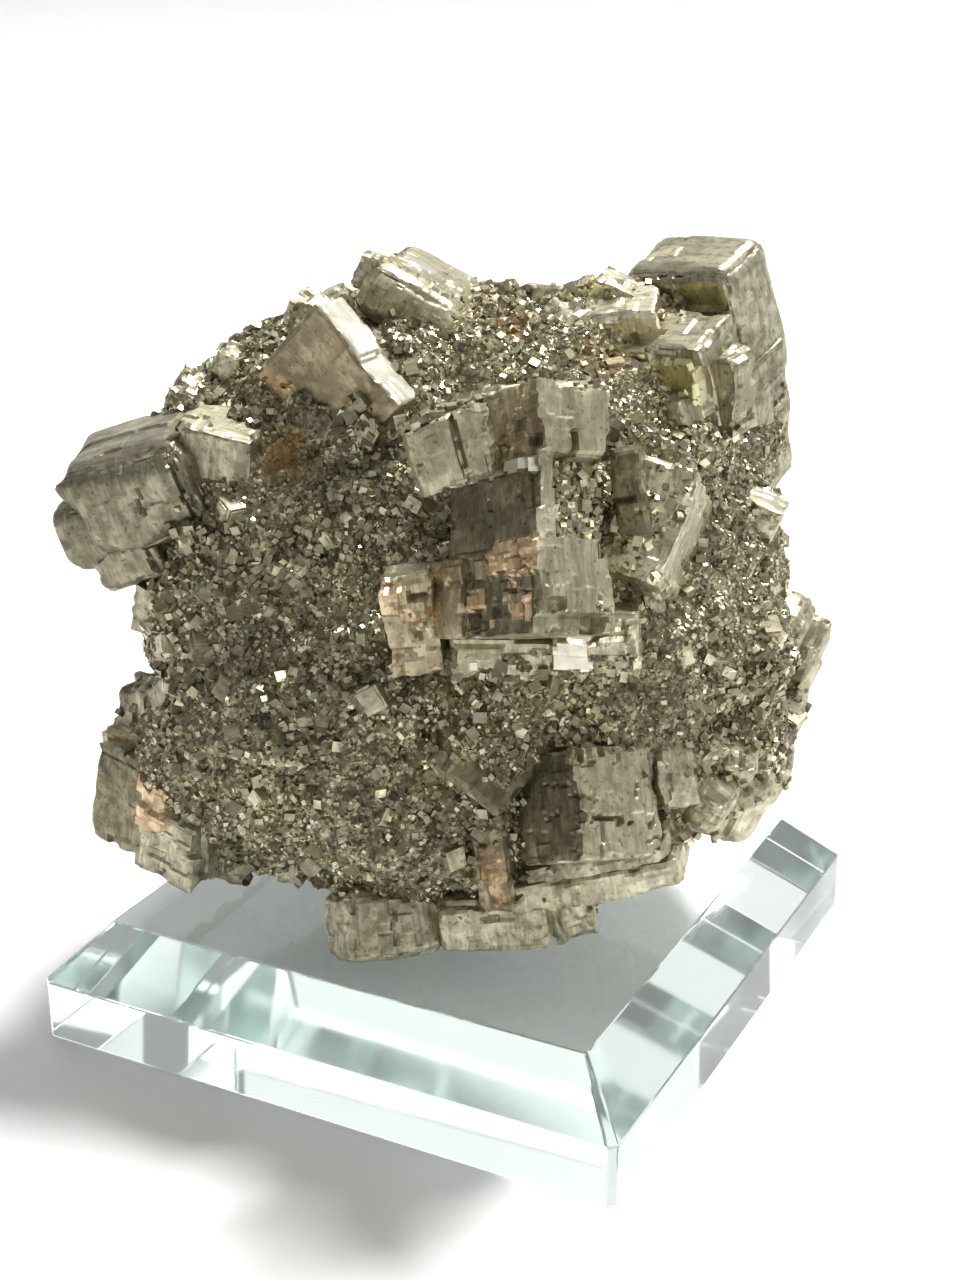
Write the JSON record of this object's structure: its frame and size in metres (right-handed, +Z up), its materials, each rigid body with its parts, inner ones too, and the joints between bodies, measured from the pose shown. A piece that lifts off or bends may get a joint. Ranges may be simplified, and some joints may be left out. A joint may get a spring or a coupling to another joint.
{
  "type": "pyrite crystal cluster on clear display base",
  "caption": "Cluster of intergrown, striated pyrite cubes over a crust of tiny crystals, resting on a clear square display base with a wide bevelled top edge.",
  "frame": {"origin": "centre of the clear base's underside", "axes": "+Z up; X and Y along the base's sides; the cluster's broad face looks towards +X and -Y, to the front right, and slightly upwards"},
  "size_m": [0.1116, 0.106, 0.1259],
  "materials": {
    "pyrite": "tarnished brassy-grey metallic lustre, finely striated flat faces over sparkling druse",
    "clear_acrylic": "clear polished acrylic with a faint cool tint"
  },
  "bodies": {
    "root": {"crystal_cluster": "pyrite", "clear_base": "clear_acrylic"}
  },
  "joints": []
}
